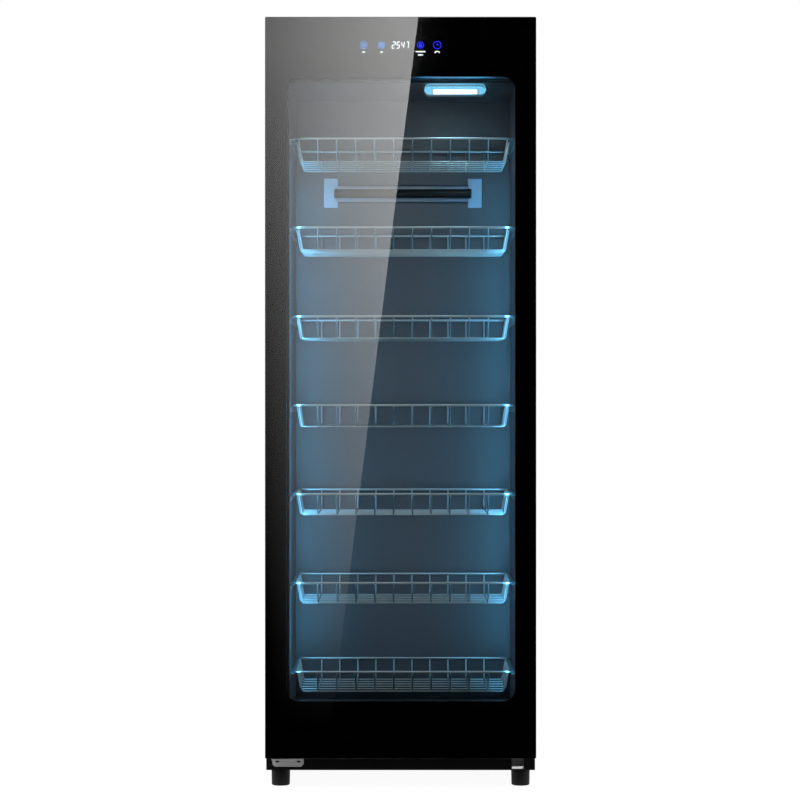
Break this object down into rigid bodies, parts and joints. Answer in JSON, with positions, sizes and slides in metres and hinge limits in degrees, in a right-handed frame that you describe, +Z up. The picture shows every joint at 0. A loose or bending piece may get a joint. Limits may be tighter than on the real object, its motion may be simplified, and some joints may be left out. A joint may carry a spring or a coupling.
{
  "type": "dish sterilizer cabinet",
  "caption": "Tall free-standing dish sterilizer cabinet with a hinged black glass door and sliding wire baskets.",
  "frame": {"origin": "middle of the footprint, on the floor under the cabinet's feet", "axes": "+Z up, +X to the right as seen from the front, +Y to the back; the door faces -Y"},
  "size_m": [0.56, 0.43, 1.597],
  "materials": {
    "shell_black": "satin black powder coat",
    "liner_dark": "dark grey baked enamel, satin",
    "frame_black": "black anodised",
    "front_glass": "clear tempered glass, faintly grey",
    "border_black": "black print behind glass",
    "inner_pane": "clear glass",
    "seal_black": "soft black magnetic seal",
    "wire_chrome": "polished",
    "rail_steel": "satin",
    "lamp_white": "white enamel",
    "lamp_glass": "frosted, lit",
    "quartz_dark": "dark infrared tube",
    "reflector_metal": "dull reflector sheet",
    "bracket_steel": "satin",
    "grille_steel": "satin",
    "heater_fins": "bare",
    "duct_steel": "galvanised",
    "motor_steel": "satin",
    "wheel_plastic": "moulded, heat resistant",
    "board_green": "circuit board with parts",
    "ballast_white": "white enamel",
    "ozone_grey": "moulded",
    "inlet_black": "moulded",
    "switch_black": "moulded",
    "magnet_grey": "bare magnet",
    "foot_black": "hard black rubber",
    "hinge_zinc": "zinc plated",
    "pin_steel": "turned",
    "bush_nylon": "black nylon",
    "screw_dark": "blackened",
    "catch_nylon": "white nylon",
    "blanket_felt": "mineral felt",
    "touch_film": "black, lit symbols",
    "display_face": "black, lit digits"
  },
  "bodies": {
    "cabinet": {"air_heater": "heater_fins", "back_panel": "shell_black", "base_pan": "shell_black", "catch_bar": "catch_nylon", "catch_bracket": "shell_black", "door_switch": "switch_black", "fan_duct": "duct_steel", "fan_motor": "motor_steel", "feet": "foot_black", "floor_grille": "grille_steel", "heater_brackets": "bracket_steel", "heater_reflector": "reflector_metal", "heater_tube": "quartz_dark", "hinge_pins": "pin_steel", "hinge_screws": "screw_dark", "insulation_blanket": "blanket_felt", "lamp_ballast": "ballast_white", "lamp_housing": "lamp_white", "lamp_tube": "lamp_glass", "left_door_jamb": "shell_black", "left_rails": "rail_steel", "left_side_panel": "shell_black", "liner_back": "liner_dark", "liner_floor": "liner_dark", "liner_left": "liner_dark", "liner_right": "liner_dark", "liner_top": "liner_dark", "lower_hinge_bracket": "hinge_zinc", "ozone_generator": "ozone_grey", "panel_screws": "screw_dark", "power_board": "board_green", "power_inlet": "inlet_black", "right_door_jamb": "shell_black", "right_rails": "rail_steel", "right_side_panel": "shell_black", "top_panel": "shell_black", "upper_hinge_bracket": "hinge_zinc"},
    "door": {"door_glass": "front_glass", "glass_border": "border_black", "door_stile_left": "frame_black", "door_stile_right": "frame_black", "door_rail_top": "frame_black", "door_rail_bottom": "frame_black", "inner_glass": "inner_pane", "door_gasket": "seal_black", "touch_board": "touch_film", "display_module": "display_face", "hinge_bushes": "bush_nylon", "door_magnet": "magnet_grey"},
    "fan": {"fan_wheel": "wheel_plastic"},
    "basket_1": {"basket_1": "wire_chrome"},
    "basket_2": {"basket_2": "wire_chrome"},
    "basket_3": {"basket_3": "wire_chrome"},
    "basket_4": {"basket_4": "wire_chrome"},
    "basket_5": {"basket_5": "wire_chrome"},
    "basket_6": {"basket_6": "wire_chrome"},
    "basket_7": {"basket_7": "wire_chrome"}
  },
  "joints": [
    {"name": "door_hinge", "type": "hinge", "parent": "cabinet", "child": "door", "pos_m": [-0.26, -0.201, 0.83], "axis": [0, 0, -1], "range_deg": [0, 110]},
    {"name": "basket_1_slide", "type": "slide", "parent": "cabinet", "child": "basket_1", "axis": [0, -1, 0], "range_m": [0, 0.028]},
    {"name": "basket_2_slide", "type": "slide", "parent": "cabinet", "child": "basket_2", "axis": [0, -1, 0], "range_m": [0, 0.028]},
    {"name": "basket_3_slide", "type": "slide", "parent": "cabinet", "child": "basket_3", "axis": [0, -1, 0], "range_m": [0, 0.028]},
    {"name": "basket_4_slide", "type": "slide", "parent": "cabinet", "child": "basket_4", "axis": [0, -1, 0], "range_m": [0, 0.028]},
    {"name": "basket_5_slide", "type": "slide", "parent": "cabinet", "child": "basket_5", "axis": [0, -1, 0], "range_m": [0, 0.028]},
    {"name": "basket_6_slide", "type": "slide", "parent": "cabinet", "child": "basket_6", "axis": [0, -1, 0], "range_m": [0, 0.028]},
    {"name": "basket_7_slide", "type": "slide", "parent": "cabinet", "child": "basket_7", "axis": [0, -1, 0], "range_m": [0, 0.028]},
    {"name": "fan_spin", "type": "hinge", "parent": "cabinet", "child": "fan", "pos_m": [0.005, 0.0035, 0.1], "axis": [0, 0, 1], "continuous": true}
  ]
}
